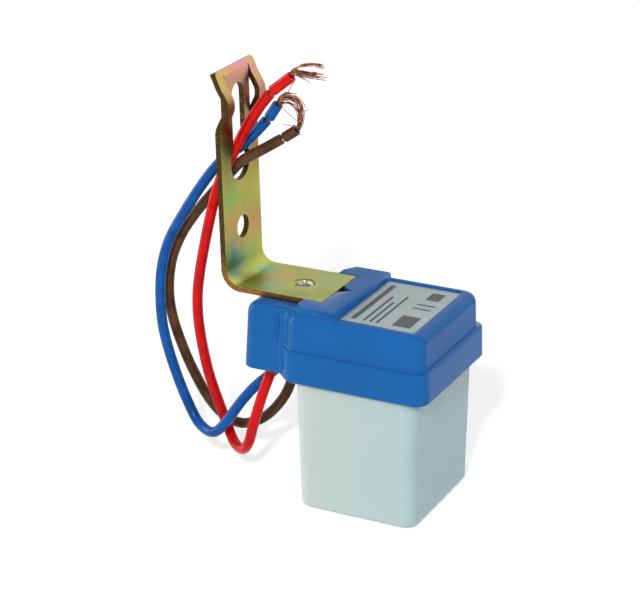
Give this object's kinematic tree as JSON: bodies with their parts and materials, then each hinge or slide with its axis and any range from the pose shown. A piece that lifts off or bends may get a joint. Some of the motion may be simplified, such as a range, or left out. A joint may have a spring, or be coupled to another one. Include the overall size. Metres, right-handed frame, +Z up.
{
  "type": "photocell switch",
  "caption": "Outdoor light-sensing switch: a moulded cap and translucent cover over a relay board, on a folded steel mounting bracket with bare-ended connecting wires.",
  "frame": {"origin": "the point on the back of the bracket's upright leg that is 18.4 mm above the top of its foot, between the round hole and the keyhole, in the middle of the width, where the switch is held", "axes": "+Z up, from the cover to the cap; +X from the bracket's leg to the front of the housing; +Y completes the right-handed frame, along the housing's width"},
  "size_m": [0.0861, 0.0408, 0.1162],
  "materials": {
    "blue_moulded_plastic": "gloss",
    "milky_cover_plastic": "satin",
    "silver_label_film": "satin",
    "yellow_passivated_steel": "satin",
    "zinc_plated_steel": "satin",
    "bare_copper": "satin",
    "red_pvc": "satin",
    "blue_pvc": "satin",
    "brown_pvc": "satin",
    "black_moulded_plastic": "satin",
    "board_laminate": "satin",
    "sensor_disc": "satin",
    "resistor_body": "satin",
    "film_capacitor_case": "satin",
    "seal_resin": "satin"
  },
  "bodies": {
    "root": {"cap": "blue_moulded_plastic", "light_cover": "milky_cover_plastic", "rating_label": "silver_label_film", "mounting_bracket": "yellow_passivated_steel", "bracket_screw": "zinc_plated_steel", "captive_nut": "zinc_plated_steel", "sealing_compound": "seal_resin", "red_wire": "red_pvc", "blue_wire": "blue_pvc", "brown_wire": "brown_pvc", "red_insulation_slug": "red_pvc", "blue_insulation_slug": "blue_pvc", "brown_insulation_slug": "brown_pvc", "red_copper_strands": "bare_copper", "blue_copper_strands": "bare_copper", "brown_copper_strands": "bare_copper", "red_lead": "red_pvc", "blue_lead": "blue_pvc", "brown_lead": "brown_pvc", "circuit_board": "board_laminate", "relay_case": "black_moulded_plastic", "relay_base": "black_moulded_plastic", "relay_coil": "bare_copper", "relay_yoke": "zinc_plated_steel", "relay_armature": "zinc_plated_steel", "film_capacitor": "film_capacitor_case", "filter_capacitor": "black_moulded_plastic", "bridge_rectifier": "black_moulded_plastic", "zener_diode": "sensor_disc", "resistor_1": "resistor_body", "resistor_2": "resistor_body", "light_sensor": "sensor_disc"}
  },
  "joints": []
}
